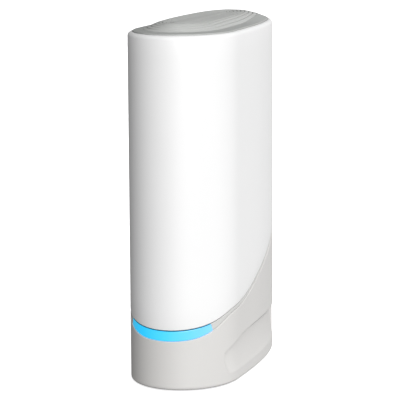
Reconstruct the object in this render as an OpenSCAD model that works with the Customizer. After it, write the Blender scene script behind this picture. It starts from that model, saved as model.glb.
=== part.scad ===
// Upright cable modem: a lens-shaped tower with a white front cover, a grey base and
// rear cover, a light bar, a ringed vent on top and the circuit board inside.
// The nose faces -Y, +Z is up and the origin is under the middle of the footprint.

/* [Tower] */
// Height of the housing, from its underside to its rim
body_h = 200; // [185:1:240]
// Half of the housing's width, at its widest section
half_w = 31.7; // [29:0.1:38]
// Length from the widest section forward to the nose
nose_len = 36.7; // [33:0.1:44]
// Length from the widest section back to the rear face
tail_len = 104.1; // [96:0.1:125]
// Squareness of the rear outline, where 2 is an ellipse
tail_power = 2.82; // [2.4:0.02:3.4]
// Wall of every outer shell
wall = 2.6; // [2:0.1:3.2]

/* [Edge of the front cover] */
// Height of the cover's lower edge at the widest section, without its swell
edge_h = 43.2; // [38:0.1:50]
// Rise of the edge for each millimetre towards the rear
edge_slope = 0.3; // [0.2:0.01:0.4]
// Upward bend of the edge
edge_bend = 0.0013; // [0:0.0001:0.002]
// Height of the soft swell in the edge, on each flank
edge_swell = 2.5; // [0:0.1:4]
// Gap between neighbouring outer shells
seam = 0.15; // [0.1:0.05:0.3]

/* [Light bar and trim] */
// Height of the light bar at the nose
bar_h = 6.35; // [4:0.05:8]
// Height of the trim band along the flanks
trim_h = 2.65; // [1.6:0.05:4]
// Distance of the light bar's ends ahead of the widest section
bar_end = 24.9; // [20:0.1:30]
// Thickness of the light bar
bar_t = 2.4; // [1.8:0.1:2.6]

/* [Top vent] */
// Rise of the vent's crown over the rim
vent_rise = 5.3; // [3:0.1:7]
// Distance over which the crown rises inside the border
crown_len = 13; // [8:0.5:20]
// Width of the plain border around the vent's rings
border_w = 6; // [4:0.1:8]
// Rise of the border's inner edge over the rim
border_rise = 1.4; // [1:0.1:2.5]
// Distance from one vent ring to the next
ring_pitch = 2.3; // [2:0.1:4]
// Width of one vent ring
ring_w = 1.5; // [1.2:0.1:2]
// How much faster the vent draws in at its nose than at its sides
nose_draw = 0.8; // [0.6:0.05:1.2]
// How much faster the vent draws in at its tail than at its sides
tail_draw = 1.4; // [1:0.05:2]

/* [Base] */
// Thickness of the bottom plate
plate_t = 3.2; // [2.8:0.1:5]
// Radius of a rubber foot
foot_r = 5; // [4:0.1:6]
// Height of the feet below the housing
foot_out = 1; // [0.6:0.1:2]
// Depth of the hollow in each flank of the base
scoop_d = 1.6; // [0.8:0.1:1.8]

/* [Rear panel] */
// Width of the recessed connector panel
panel_w = 34; // [28:0.1:41]
// Height of the connector panel
panel_h = 122; // [120:1:140]
// Height of the panel's lower edge over the housing's underside
panel_low = 10; // [8:0.5:14]
// Depth of the recess, from the rear face to the panel
recess = 8; // [7:0.1:9]
// Thickness of the panel
panel_t = 1.6; // [1.2:0.1:2.2]
// Length of the rear cover ahead of the rear face
rear_len = 12.1; // [11.5:0.1:13]

/* [Connector heights over the underside] */
// Power inlet
power_h = 22; // [18:0.5:26]
// Coaxial socket
coax_h = 45; // [42:0.5:48]
// Lower network socket
lower_jack_h = 73; // [70:0.5:76]
// Upper network socket
upper_jack_h = 99; // [95:0.5:102]
// Reset button
reset_h = 120; // [117:0.5:123]

/* [Connectors] */
// Width of a network socket's case
jack_w = 16.2; // [15.5:0.1:18]
// Height of a network socket's case over the board
jack_tall = 13.6; // [13.2:0.1:16.5]
// Depth of a network socket's case
jack_deep = 21.3; // [18:0.1:24]
// Width of the space for a network plug
plug_w = 11.9; // [11.7:0.1:12.4]
// Height of the space for a network plug
plug_tall = 8.4; // [8:0.1:8.6]
// Outer radius of the coaxial thread
thread_r = 4.76; // [4.7:0.01:4.8]
// Length of the coaxial barrel behind the panel's face
barrel_len = 11; // [9.5:0.1:13]
// Radius of the power inlet's hole
inlet_r = 3.15; // [3:0.05:3.3]
// Radius of the power inlet's centre pin
pin_r = 1.05; // [0.8:0.05:1.25]
// Radius of the pinhole in front of the reset button
pinhole_r = 1; // [0.8:0.1:1.4]
// Travel of the reset button
reset_travel = 0.5; // [0.2:0.05:0.8]

/* [Board] */
// Thickness of the circuit board
board_t = 1.6; // [1:0.1:2]
// Height of the circuit board
board_h = 150; // [140:1:156]
// Thickness of the chassis web that carries the board
web_t = 2; // [1.6:0.1:3]
// Length of the standoffs between web and board
standoff = 6; // [4:0.1:7]
// Height of the heatsink's fins
fin_tall = 12; // [8:0.5:14]

/* [Clearances] */
// Gap around a piece that sits in another
fit_gap = 0.2; // [0.1:0.05:0.3]
// Gap around a screw's shank in its boss
screw_gap = 0.05; // [0.03:0.01:0.1]
// Gap around the sliding reset plunger
slide_gap = 0.2; // [0.1:0.05:0.3]

/* [Hidden] */
$fn = 48;

// The housing in its own coordinates
coax_out = barrel_len - recess;
wide_y = (nose_len - tail_len - coax_out) / 2;
nose_y = wide_y - nose_len;
rear_y = wide_y + tail_len;
split_y = rear_y - rear_len;
under_z = foot_out;
rim_z = under_z + body_h;
plate_z = under_z + plate_t;
skirt_in = wall + fit_gap;
beyond = 5;
outline_n = 72;
profile_n = 24;

// Outline and edges
swell_y = -9.2;
swell_len = 13.5;
bar_blend_y = -34.8;
bar_blend_len = 27.5;
bar_lean = 2.2;

// Connector panel and board planes
panel_y = rear_y - recess;
panel_back_y = panel_y - panel_t;
panel_lip = 1.4;
lip_t = 1.2;
jamb = 2.2;
board_face_x = -jack_tall / 2;
board_back_x = board_face_x - board_t;
web_x = board_back_x - standoff - web_t;
board_rear_y = panel_back_y - lip_t - 1;
board_front_y = wide_y - 20;
board_z = under_z + 8;
board_inset = 5;
face_proud = 0.4;

// Fasteners
screw_r = 1.45;
screw_head_r = 2.8;
screw_head_t = 1.8;
screw_head_sink = 0.2;
screw_len = 9;
screw_slot = [3.2, 0.6, 1];
boss_r = 3.6;
boss_h = 9.4;
boss_x = 21.5;
boss_rib_t = 2;
boss_rib_sink = 0.5;
frame_screw_ys = [wide_y + 8, wide_y + 52];
shell_screw_y = wide_y - 1.5;
board_screw_r = 1.25;
board_screw_len = 6.5;
board_screw_head = [2.6, 1.6];
board_hole_r = 1.6;

// Feet and label
foot_t = foot_out + 0.6;
front_foot = [17, wide_y - 14.7];
rear_foot = [14, rear_y - 22];
label_size = [28, 30];
label_t = 0.2;
label_sink = 0.1;
label_y = wide_y + 30;
vent_slot = [22, 2];
vent_slot_n = 4;
vent_slot_pitch = 5;
vent_slot_y = wide_y + 59;

// Parts on the board: distance behind the widest section and height over the board's edge
chip_t = 1.4;
pad_t = 0.5;
modem_at = [22, 96];
modem_w = 23;
memory_at = [-12, 96];
memory_pitch = 18;
memory_size = [1.1, 9, 13.5];
flash_at = [-6, 50];
flash_size = [1.2, 8, 6];
network_at = [54, 86];
crystal_at = [24, 44];
crystal_size = [1, 3.2, 5];
small_chip = [0.9, 9, 9];
magnetics_size = [6, 10, 17];
magnetics_gap = 4;
inductor_at = [30, 16];
inductor_size = [4, 8, 8];
capacitor_at = [18, 32];
capacitor_r = 4;
capacitor_len = 11.5;
power_part_pitch = 12;
sink_size = [48, 64];
sink_base_t = 3;
fin_t = 1.4;
fin_count = 9;
led_h = 30.8;
led_size = [1.9, 1.2, 2.8];
led_pitch = 8;
light_h = 3.4;
light_w = 0.8 * bar_end;
light_neck = 6;
light_tab = [3, 2, 4];

function sign_pow(v, p) = sign(v) * pow(abs(v), p);

// How far an outline that is drawn in by inset at its sides is drawn in at one end
function end_inset(inset, draw) = min(inset, skirt_in) + draw * max(0, inset - skirt_in);

// Point of the outline at angle a, drawn in by inset: an ellipse ahead of the widest
// section and a squarer superellipse behind it
function rim_point(a, inset) =
    let (ahead = sin(a) < 0)
    let (power = ahead ? 2 : tail_power)
    let (reach = ahead ? nose_len - end_inset(inset, nose_draw) : tail_len - end_inset(inset, tail_draw))
    [
        (half_w - inset) * sign_pow(cos(a), 2 / power),
        wide_y + reach * sign_pow(sin(a), 2 / power)
    ];

function rim_points(inset) = [for (i = [0:outline_n - 1]) rim_point(360 * i / outline_n, inset)];

// Half width of the outline at y, drawn in by inset
function half_at(y, inset) =
    let (ahead = y < wide_y)
    let (power = ahead ? 2 : tail_power)
    let (reach = (ahead ? nose_len : tail_len) - inset)
    (half_w - inset) * pow(1 - pow(abs(y - wide_y) / reach, power), 1 / power);

function smooth(t) = let (u = max(0, min(1, t))) u * u * (3 - 2 * u);

// Height of the front cover's lower edge, and of the base's upper edge, at y
function edge_z(y) =
    let (back = y - wide_y)
    under_z + edge_h + edge_slope * back + edge_bend * back * back
        + edge_swell * exp(-pow((back - swell_y) / swell_len, 2));
function band_h(y) = bar_h + (trim_h - bar_h) * smooth((y - wide_y - bar_blend_y) / bar_blend_len);
function base_z(y) = edge_z(y) - band_h(y);

profile_ys = [
    for (i = [0:profile_n]) nose_y - beyond + (rear_y - nose_y + 2 * beyond) * i / profile_n
];
cover_line = [for (y = profile_ys) [y, edge_z(y)]];
base_line = [for (y = profile_ys) [y, base_z(y)]];

module outline(inset) {
    polygon(rim_points(inset));
}

module slab(inset, low, high) {
    translate([0, 0, low]) linear_extrude(high - low) outline(inset);
}

module shell(outer, inner, low, high) {
    translate([0, 0, low]) linear_extrude(high - low) difference() {
        outline(outer);
        outline(inner);
    }
}

// A side profile, in y and z, carried across the whole width
module across(points) {
    rotate([90, 0, 90]) linear_extrude(2 * half_w + 2 * beyond, center = true) polygon(points);
}

// Everything below a line of points, or above it, with the line moved up by rise
module below(line, rise) {
    across(concat(
        [for (p = line) p + [0, rise]],
        [[rear_y + beyond, -beyond], [nose_y - beyond, -beyond]]
    ));
}

module above(line, rise) {
    across(concat(
        [for (p = line) p + [0, rise]],
        [[rear_y + beyond, rim_z + beyond], [nose_y - beyond, rim_z + beyond]]
    ));
}

// Everything behind y
module behind(y) {
    translate([-half_w - beyond, y, -beyond])
        cube([2 * (half_w + beyond), rear_y, rim_z + 4 * beyond]);
}

// The stretch of the band that the light bar fills, with its leaning ends
module bar_zone(gap) {
    end_y = wide_y - bar_end + gap;
    across([
        [nose_y - beyond, under_z],
        [end_y + 2 * bar_lean, under_z],
        [end_y + bar_lean, base_z(end_y)],
        [end_y - bar_lean / 2, edge_z(end_y)],
        [end_y - bar_lean, rim_z],
        [nose_y - beyond, rim_z]
    ]);
}

module rod_x(r, x, y, z, length) {
    translate([x, y, z]) rotate([0, 90, 0]) cylinder(r = r, h = length);
}

module rod_y(r, x, y, z, length) {
    translate([x, y, z]) rotate([-90, 0, 0]) cylinder(r = r, h = length);
}

// A block that stands on the board's face, centred on back and up
module on_board(back, up, size) {
    translate([board_face_x, wide_y + back - size[1] / 2, board_z + up - size[2] / 2]) cube(size);
}

module front_cover() {
    color("white") difference() {
        shell(0, wall, under_z + bar_h, rim_z);
        below(cover_line, 0);
        behind(split_y - seam);
    }
}

module band(outer, inner) {
    difference() {
        shell(outer, inner, under_z, rim_z);
        below(base_line, seam);
        above(cover_line, -seam);
        behind(split_y - seam);
    }
}

module trim_band() {
    color("gainsboro") difference() {
        band(0, wall);
        bar_zone(seam);
    }
}

module light_bar() {
    color("deepskyblue") intersection() {
        band(0, bar_t);
        bar_zone(0);
    }
}

// The hollow in each flank: a rounded front end, a rising upper edge and a flat lower edge
scoop_front_y = wide_y - 15.3;
scoop_end_y = split_y - 1.2;
scoop_low_z = under_z + 6.6;
scoop_high = 28;
scoop_front_h = 19;
scoop_rise_len = 16;
scoop_turn = [11, 12];

function scoop_top(y) =
    under_z + scoop_high - (scoop_high - scoop_front_h) * exp(-(y - scoop_front_y) / scoop_rise_len);

module scoops() {
    difference() {
        across(concat(
            [for (i = [0:8]) let (a = 180 + i * 90 / 8)
                [scoop_front_y + scoop_turn[0] * (1 + cos(a)), scoop_low_z + scoop_turn[1] * (1 + sin(a))]],
            [for (i = [0:4]) let (a = 270 + i * 90 / 4)
                [scoop_end_y - 4 + 4 * cos(a), scoop_low_z + 4 + 4 * sin(a)]],
            [for (i = [0:10]) let (y = scoop_end_y + (scoop_front_y - scoop_end_y) * i / 10)
                [y, scoop_top(y)]]
        ));
        slab(scoop_d, -beyond, rim_z);
    }
}

module base_shell() {
    wall_x = half_at(shell_screw_y, wall) + boss_rib_sink;
    color("lightgray") {
        difference() {
            shell(0, wall, under_z, rim_z);
            above(base_line, 0);
            behind(split_y - seam);
            scoops();
        }
        for (side = [-1, 1]) difference() {
            union() {
                translate([side * boss_x, shell_screw_y, plate_z]) cylinder(r = boss_r, h = boss_h);
                translate([side > 0 ? boss_x : -wall_x, shell_screw_y - boss_rib_t / 2, plate_z])
                    cube([wall_x - boss_x, boss_rib_t, boss_h]);
            }
            translate([side * boss_x, shell_screw_y, plate_z - 1])
                cylinder(r = screw_r + screw_gap, h = boss_h);
        }
    }
}

module rear_cover() {
    window_z = under_z + panel_low;
    pocket_x = panel_w / 2 + panel_lip + fit_gap;
    color("silver") difference() {
        union() {
            intersection() {
                shell(0, wall, under_z, rim_z);
                behind(split_y);
            }
            intersection() {
                slab(0, window_z - jamb, window_z + panel_h + jamb);
                translate([-panel_w / 2 - jamb, panel_back_y, 0])
                    cube([panel_w + 2 * jamb, rear_y, rim_z]);
            }
        }
        translate([-panel_w / 2, panel_back_y - beyond, window_z])
            cube([panel_w, rear_y, panel_h]);
        translate([-pocket_x, split_y - beyond, window_z - panel_lip - fit_gap])
            cube([2 * pocket_x, panel_back_y + beyond - split_y, panel_h + 2 * (panel_lip + fit_gap)]);
    }
}

module jack_hole(up) {
    gap = fit_gap;
    translate([board_face_x - gap, panel_back_y - beyond, under_z + up - jack_w / 2 - gap])
        cube([jack_tall + 2 * gap, recess + beyond, jack_w + 2 * gap]);
}

module connector_panel() {
    gap = fit_gap;
    low = under_z + panel_low;
    color("darkgray") difference() {
        union() {
            translate([-panel_w / 2 + gap, panel_back_y, low + gap])
                cube([panel_w - 2 * gap, panel_t, panel_h - 2 * gap]);
            translate([-panel_w / 2 - panel_lip, panel_back_y - lip_t, low - panel_lip])
                cube([panel_w + 2 * panel_lip, lip_t, panel_h + 2 * panel_lip]);
        }
        jack_hole(upper_jack_h);
        jack_hole(lower_jack_h);
        translate([board_face_x - gap, panel_back_y - beyond, under_z + power_h - inlet_w / 2 - gap])
            cube([inlet_w / 2 - board_face_x + 2 * gap, recess + beyond, inlet_w + 2 * gap]);
        rod_y(thread_r + gap, 0, panel_back_y - beyond, under_z + coax_h, recess + beyond);
        rod_y(pinhole_r, reset_x, panel_back_y - beyond, under_z + reset_h, recess + beyond);
    }
}

border_lip = 0.3;
border_edge = 0.7;
grille_in = skirt_in + border_w + border_lip;
grille_t = 1.8;
seat_h = border_rise - grille_t;
seat_w = 1.6;
seat_t = 1.4;
skirt_t = 1.8;
skirt_h = 8;

// Rise of the vent's crown over the rim, at an inset from the outline
function crown(inset) =
    border_rise + (vent_rise - border_rise) * sin(90 * min(1, (inset - grille_in) / crown_len));

// The border of the vent: each ring of points is drawn in by its first value and lies at
// its second value over the rim
bezel_section = [
    [skirt_in, -skirt_h],
    [skirt_in, border_edge],
    [skirt_in + border_w, border_rise],
    [grille_in, border_rise],
    [grille_in, seat_h],
    [grille_in + seat_w, seat_h],
    [grille_in + seat_w, seat_h - seat_t],
    [grille_in - 1, seat_h - seat_t],
    [skirt_in + skirt_t, -1.6],
    [skirt_in + skirt_t, -skirt_h]
];

module top_bezel() {
    section_n = len(bezel_section);
    points = [for (s = bezel_section, p = rim_points(s[0])) [p[0], p[1], rim_z + s[1]]];
    faces = [
        for (s = [0:section_n - 1], i = [0:outline_n - 1])
            let (s2 = (s + 1) % section_n)
            let (i2 = (i + 1) % outline_n)
            [s * outline_n + i, s2 * outline_n + i, s2 * outline_n + i2, s * outline_n + i2]
    ];
    color("darkgray") polyhedron(points, faces, convexity = 4);
}

grille_rib = [2, 0.9];
grille_rib_pitch = 20;

// Lens-shaped rings on ribs, each as high as the crown at its middle, round a closed centre
module top_grille() {
    low = rim_z + seat_h;
    outer = grille_in + fit_gap / 2;
    ring_n = floor((half_w - outer - ring_w) / ring_pitch);
    color("silver") union() {
        for (i = [0:ring_n - 1]) let (draw_in = outer + i * ring_pitch)
            shell(draw_in, draw_in + ring_w, low, rim_z + crown(draw_in + ring_w / 2));
        slab(outer + ring_n * ring_pitch, low, rim_z + vent_rise);
        intersection() {
            slab(outer, low, low + grille_rib[1]);
            union() {
                for (k = [-1:3])
                    translate([-half_w, wide_y + grille_rib_pitch * k - grille_rib[0] / 2, low])
                        cube([2 * half_w, grille_rib[0], grille_rib[1]]);
                translate([-grille_rib[0] / 2, nose_y, low])
                    cube([grille_rib[0], rear_y - nose_y, grille_rib[1]]);
            }
        }
    }
}

module at_feet() {
    for (side = [-1, 1], p = [front_foot, rear_foot])
        translate([side * p[0], p[1], 0]) children();
}

module at_base_screws() {
    for (y = frame_screw_ys) translate([0, y, 0]) children();
    for (side = [-1, 1]) translate([side * boss_x, shell_screw_y, 0]) children();
}

module bottom_plate() {
    color("gray") difference() {
        slab(wall + fit_gap, under_z, plate_z);
        at_feet() translate([0, 0, -beyond])
            cylinder(r = foot_r + fit_gap, h = beyond + foot_t);
        at_base_screws() {
            translate([0, 0, -beyond])
                cylinder(r = screw_head_r + fit_gap, h = beyond + under_z + screw_head_t + screw_head_sink);
            translate([0, 0, -beyond]) cylinder(r = screw_r + fit_gap, h = rim_z);
        }
        translate([-label_size[0] / 2 - fit_gap, label_y - label_size[1] / 2 - fit_gap, -beyond])
            cube([label_size[0] + 2 * fit_gap, label_size[1] + 2 * fit_gap,
                beyond + under_z + label_t + label_sink]);
        for (k = [0:vent_slot_n - 1])
            translate([-vent_slot[0] / 2, vent_slot_y + vent_slot_pitch * k, -beyond])
                cube([vent_slot[0], vent_slot[1], rim_z]);
    }
}

module rubber_feet() {
    color("dimgray") at_feet() cylinder(r = foot_r, h = foot_t);
}

module base_screws() {
    color("silver") at_base_screws() translate([0, 0, under_z + screw_head_sink]) {
        difference() {
            cylinder(r = screw_head_r, h = screw_head_t);
            for (a = [0, 90]) rotate(a)
                translate([-screw_slot[0] / 2, -screw_slot[1] / 2, -screw_slot[2]])
                    cube([screw_slot[0], screw_slot[1], 2 * screw_slot[2]]);
        }
        translate([0, 0, screw_head_t]) cylinder(r = screw_r, h = screw_len);
    }
}

module rating_label() {
    color("whitesmoke") translate([-label_size[0] / 2, label_y - label_size[1] / 2, under_z + label_sink])
        cube([label_size[0], label_size[1], label_t]);
}

web_front_y = wide_y - 12;
web_rear_y = board_rear_y - 3;
web_top_z = board_z + board_h;
flange = [26, 60, 3];
standoff_r = 3;
web_hole = [9, 46];
web_hole_pitch = [17, 58];
web_hole_at = [-4, 26];
board_screw_at = [
    for (y = [board_front_y + 13, board_rear_y - 36])
        for (z = [board_z + board_inset + 8, board_z + board_h - board_inset]) [y, z]
];

// Chassis: a web beside the board, a foot flange on the bottom plate and four standoffs
module inner_frame() {
    color("lightslategray") difference() {
        union() {
            translate([web_x, web_front_y, plate_z])
                cube([web_t, web_rear_y - web_front_y, web_top_z - plate_z]);
            translate([web_x, wide_y, plate_z]) cube(flange);
            for (y = frame_screw_ys) translate([0, y, plate_z]) cylinder(r = boss_r, h = boss_h);
            for (p = board_screw_at)
                rod_x(standoff_r, web_x + web_t / 2, p[0], p[1], standoff + web_t / 2);
        }
        for (y = frame_screw_ys) translate([0, y, plate_z - 1])
            cylinder(r = screw_r + screw_gap, h = boss_h);
        for (p = board_screw_at)
            rod_x(board_screw_r + screw_gap, board_back_x - standoff, p[0], p[1], standoff + 1);
        for (k = [0:4], row = [0:1])
            translate([web_x - 1, wide_y + web_hole_at[0] + web_hole_pitch[0] * k,
                board_z + web_hole_at[1] + web_hole_pitch[1] * row])
                cube([web_t + 2, web_hole[0], web_hole[1]]);
    }
}

module main_board() {
    color("darkgreen") difference() {
        translate([board_back_x, board_front_y, board_z])
            cube([board_t, board_rear_y - board_front_y, board_h]);
        for (p = board_screw_at) rod_x(board_hole_r, board_back_x - 1, p[0], p[1], board_t + 2);
        for (p = sink_pin_at) rod_x(sink_pin_r + fit_gap, board_back_x - 1, p[0], p[1], board_t + 2);
    }
}

module board_screws() {
    color("silver") for (p = board_screw_at) {
        rod_x(board_screw_head[0], board_face_x, p[0], p[1], board_screw_head[1]);
        rod_x(board_screw_r, board_face_x - board_screw_len, p[0], p[1], board_screw_len);
    }
}

module modem_chip() {
    color("black") on_board(modem_at[0], modem_at[1], [chip_t, modem_w, modem_w]);
}

module thermal_pad() {
    color("lightpink") translate([chip_t, 0, 0])
        on_board(modem_at[0], modem_at[1], [pad_t, modem_w - 4, modem_w - 4]);
}

sink_x = board_face_x + chip_t + pad_t;
sink_pin_r = 1.5;
sink_pin_head = [3, 2.4];
sink_pin_barb = [2.1, 2];
sink_clear_r = 4;
sink_pin_at = [
    for (side = [-1, 1])
        [wide_y + modem_at[0] + side * (sink_size[0] / 2 - 6),
            board_z + modem_at[1] + side * (sink_size[1] / 2 - 6)]
];

module heatsink() {
    first_y = wide_y + modem_at[0] - sink_size[0] / 2;
    low_z = board_z + modem_at[1] - sink_size[1] / 2;
    gap_y = (sink_size[0] - fin_t) / (fin_count - 1);
    color("lightsteelblue") difference() {
        union() {
            translate([sink_x, first_y, low_z]) cube([sink_base_t, sink_size[0], sink_size[1]]);
            for (i = [0:fin_count - 1]) translate([sink_x, first_y + i * gap_y, low_z])
                cube([sink_base_t + fin_tall, fin_t, sink_size[1]]);
        }
        for (p = sink_pin_at) {
            rod_x(sink_pin_r + fit_gap, sink_x - 1, p[0], p[1], sink_base_t + 2);
            rod_x(sink_clear_r, sink_x + sink_base_t, p[0], p[1], fin_tall + 1);
        }
    }
}

module heatsink_pins() {
    barb_x = board_back_x - sink_pin_barb[1];
    color("ivory") for (p = sink_pin_at) {
        rod_x(sink_pin_r, barb_x, p[0], p[1], sink_x + sink_base_t - barb_x);
        rod_x(sink_pin_head[0], sink_x + sink_base_t, p[0], p[1], sink_pin_head[1]);
        rod_x(sink_pin_barb[0], barb_x, p[0], p[1], sink_pin_barb[1]);
    }
}

module memory_chips() {
    color("black") for (side = [-1, 1])
        on_board(memory_at[0], memory_at[1] + side * memory_pitch / 2, memory_size);
}

module flash_chip() {
    color("black") on_board(flash_at[0], flash_at[1], flash_size);
}

module network_chip() {
    color("black") on_board(network_at[0], network_at[1], small_chip);
}

module crystal() {
    color("gainsboro") on_board(crystal_at[0], crystal_at[1], crystal_size);
}

shield_at = [44, 40];
shield_size = [5, 32, 26];
shield_wall = 0.5;
lid_t = 0.4;

module shield_frame() {
    color("silver") difference() {
        on_board(shield_at[0], shield_at[1], shield_size - [shield_wall, 0, 0]);
        translate([-1, 0, 0]) on_board(shield_at[0], shield_at[1],
            [shield_size[0] + 2, shield_size[1] - 2 * shield_wall, shield_size[2] - 2 * shield_wall]);
    }
}

module shield_lid() {
    color("gainsboro") translate([shield_size[0] - shield_wall, 0, 0])
        on_board(shield_at[0], shield_at[1], [lid_t, shield_size[1], shield_size[2]]);
}

module tuner_chip() {
    color("black") on_board(shield_at[0], shield_at[1], small_chip);
}

// Coaxial socket: a block on the board, a barrel through the panel, a washer and a nut
coax_block = [13, 12];
coax_block_y = panel_back_y - lip_t - coax_block[1];
coax_floor = 4;
coax_step_r = thread_r - 0.16;
coax_mouth = 1;
washer_t = 0.8;
washer_r = 7;
nut_t = 2.6;
nut_r = 6.4;
bore_r = 3.6;
contact_r = 1.2;
contact_bore_r = 0.5;
contact_mouth = 1.6;

module coax_body() {
    z = under_z + coax_h;
    nut_face_y = panel_y + washer_t + nut_t;
    color("silver") difference() {
        union() {
            translate([board_face_x, coax_block_y, z - coax_block[0] / 2])
                cube([coax_block[0] / 2 - board_face_x, coax_block[1], coax_block[0]]);
            rod_y(coax_step_r, 0, coax_block_y + 1, z, nut_face_y - coax_block_y - 1);
            rod_y(thread_r, 0, nut_face_y, z, panel_y + barrel_len - nut_face_y);
        }
        rod_y(bore_r, 0, coax_block_y + coax_floor, z, rear_y);
    }
}

module coax_insulator() {
    z = under_z + coax_h;
    start_y = coax_block_y + coax_floor;
    color("white") difference() {
        rod_y(bore_r - screw_gap, 0, start_y, z, panel_y + barrel_len - start_y - coax_mouth);
        rod_y(contact_r + screw_gap, 0, start_y - 1, z, rear_y);
    }
}

module coax_contact() {
    z = under_z + coax_h;
    start_y = coax_block_y + coax_floor;
    color("goldenrod") difference() {
        rod_y(contact_r, 0, start_y, z, panel_y + barrel_len - start_y - contact_mouth);
        rod_y(contact_bore_r, 0, panel_y + 1, z, rear_y);
    }
}

module coax_washer() {
    color("silver") difference() {
        rod_y(washer_r, 0, panel_y, under_z + coax_h, washer_t);
        rod_y(coax_step_r + fit_gap / 2, 0, panel_y - 1, under_z + coax_h, washer_t + 2);
    }
}

module coax_nut() {
    color("silver") difference() {
        translate([0, panel_y + washer_t, under_z + coax_h]) rotate([-90, 0, 0])
            cylinder(r = nut_r, h = nut_t, $fn = 6);
        rod_y(coax_step_r + fit_gap / 2, 0, panel_y, under_z + coax_h, nut_t + 2);
    }
}

// Network sockets: a metal case around a plastic insert, with eight sprung wires
case_t = 0.5;
plug_deep = 12.5;
latch_w = 6.4;
latch_tall = 2.8;
wire_n = 8;
wire_pitch = 1.02;
wire_w = 0.45;
wire_t = 0.3;
wire_len = 9;
wire_lean = 8;
insert_gap = 0.05;
insert_w = jack_w - 2 * (case_t + insert_gap);
jack_front_y = panel_y + face_proud;
plug_top_x = jack_tall / 2 - case_t - 1.6;
led_w = 2.6;
led_tall = 1.8;
led_deep = 3;
led_floor = 0.4;
led_off = insert_w / 2 - led_w / 2 - 0.7;

module jack_case(up) {
    z = under_z + up;
    color("silver") difference() {
        translate([board_face_x, jack_front_y - jack_deep, z - jack_w / 2])
            cube([jack_tall, jack_deep, jack_w]);
        translate([board_face_x - 1, jack_front_y - jack_deep + case_t, z - jack_w / 2 + case_t])
            cube([jack_tall - case_t + 1, jack_deep, jack_w - 2 * case_t]);
    }
}

module plug_space(z) {
    translate([plug_top_x - plug_tall, jack_front_y - plug_deep, z - plug_w / 2])
        cube([plug_tall, plug_deep + 1, plug_w]);
    translate([plug_top_x - plug_tall - latch_tall, jack_front_y - plug_deep, z - latch_w / 2])
        cube([latch_tall + 1, plug_deep + 1, latch_w]);
}

module jack_insert(up) {
    z = under_z + up;
    color("dimgray") difference() {
        translate([board_face_x, jack_front_y - jack_deep + case_t + insert_gap, z - insert_w / 2])
            cube([jack_tall - case_t - insert_gap, jack_deep - case_t - 0.25, insert_w]);
        plug_space(z);
        for (s = [-1, 1])
            translate([board_face_x + led_floor, jack_front_y - led_deep, z + s * led_off - led_w / 2])
                cube([led_tall, led_deep + 1, led_w]);
    }
}

module jack_leds() {
    gap = insert_gap;
    for (up = [lower_jack_h, upper_jack_h], s = [-1, 1])
        color(s > 0 ? "limegreen" : "gold")
            translate([board_face_x + led_floor + gap, jack_front_y - led_deep + gap,
                under_z + up + s * led_off - led_w / 2 + gap])
                cube([led_tall - 2 * gap, led_deep - 0.3, led_w - 2 * gap]);
}

module jack_contacts() {
    color("goldenrod")
        for (up = [lower_jack_h, upper_jack_h], i = [0:wire_n - 1])
            translate([plug_top_x, jack_front_y - 2.4,
                under_z + up + (i - (wire_n - 1) / 2) * wire_pitch - wire_w / 2])
                rotate([0, 0, 180 - wire_lean]) cube([wire_t, wire_len, wire_w]);
}

module line_magnetics() {
    color("black") for (up = [lower_jack_h, upper_jack_h])
        translate([board_face_x, jack_front_y - jack_deep - magnetics_gap - magnetics_size[1],
            under_z + up - magnetics_size[2] / 2]) cube(magnetics_size);
}

// Power inlet: a moulded block with a round hole and its centre pin
inlet_w = 9;
inlet_deep = 14;
inlet_hole = 9.5;
pin_back = 0.8;

module power_jack() {
    z = under_z + power_h;
    color("black") difference() {
        translate([board_face_x, jack_front_y - inlet_deep, z - inlet_w / 2])
            cube([inlet_w / 2 - board_face_x, inlet_deep, inlet_w]);
        rod_y(inlet_r, 0, jack_front_y - inlet_hole, z, inlet_hole + 1);
    }
}

module power_pin() {
    color("silver") rod_y(pin_r, 0, jack_front_y - inlet_hole, under_z + power_h, inlet_hole - pin_back);
}

// Reset switch: a case on the board with a sprung plunger behind the pinhole
switch_w = 6.2;
switch_tall = 7;
switch_deep = 5;
plunger_r = 1.6;
flange_r = 2.2;
flange_d = 0.8;
reset_x = board_face_x + switch_tall / 2;
plunger_tip_y = panel_back_y - lip_t - 0.5;
switch_face_y = plunger_tip_y - 3;
pocket_front = 0.8;
pocket_deep = flange_d + 0.1 + reset_travel + 0.5;

module reset_switch() {
    z = under_z + reset_h;
    color("dimgray") difference() {
        translate([board_face_x, switch_face_y - switch_deep, z - switch_w / 2])
            cube([switch_tall, switch_deep, switch_w]);
        rod_y(plunger_r + slide_gap, reset_x, switch_face_y - 2, z, 4);
        rod_y(flange_r + slide_gap, reset_x, switch_face_y - pocket_front - pocket_deep, z, pocket_deep);
    }
}

module reset_plunger() {
    z = under_z + reset_h;
    flange_y = switch_face_y - pocket_front - 0.1 - flange_d;
    color("ivory") {
        rod_y(plunger_r, reset_x, flange_y, z, plunger_tip_y - flange_y);
        rod_y(flange_r, reset_x, flange_y, z, flange_d);
    }
}

module power_inductors() {
    color("dimgray") for (k = [0:2])
        on_board(inductor_at[0] - power_part_pitch * k, inductor_at[1], inductor_size);
}

module capacitors() {
    color("midnightblue") for (k = [0:2])
        rod_x(capacitor_r, board_face_x, wide_y + capacitor_at[0] - power_part_pitch * k,
            board_z + capacitor_at[1], capacitor_len);
}

module status_leds() {
    color("white") for (side = [-1, 1])
        translate([board_face_x, board_front_y,
            under_z + led_h + side * led_pitch / 2 - led_size[2] / 2])
            cube(led_size);
}

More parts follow.
